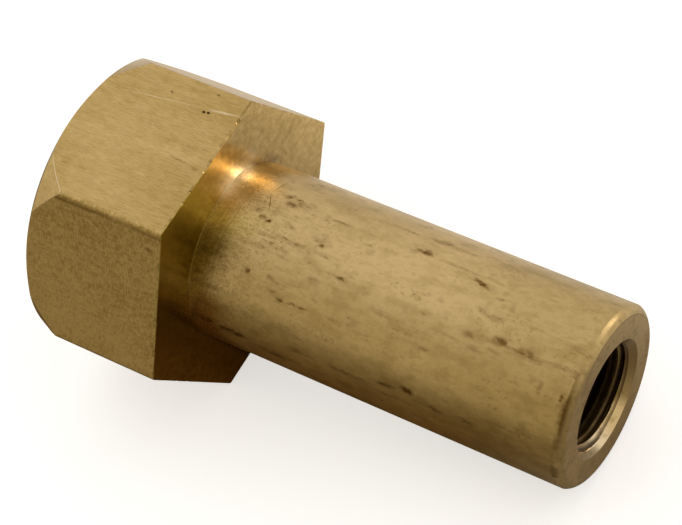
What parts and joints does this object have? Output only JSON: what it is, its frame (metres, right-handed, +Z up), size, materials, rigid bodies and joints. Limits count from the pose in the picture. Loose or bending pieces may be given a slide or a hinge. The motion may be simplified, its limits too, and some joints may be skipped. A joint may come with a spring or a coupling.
{
  "type": "tank nut",
  "caption": "Long brass nut with a hexagon head, a plain round sleeve and a fine threaded blind hole in the sleeve's end, lying as it comes to rest.",
  "frame": {"origin": "middle of the bounding box in plan, on the plane that the nut rests on", "axes": "+Z up, +X along the nut from its head towards the mouth of the hole; the nut's own axis dips 7.26 degrees below +X, because it rests on the shoulder edge of one flat and on the sleeve's rim"},
  "size_m": [0.0688, 0.0382, 0.0353],
  "materials": {
    "turned_brass": "turned and left unpolished, lightly tarnished"
  },
  "bodies": {
    "root": {"tank_nut": "turned_brass"}
  },
  "joints": []
}
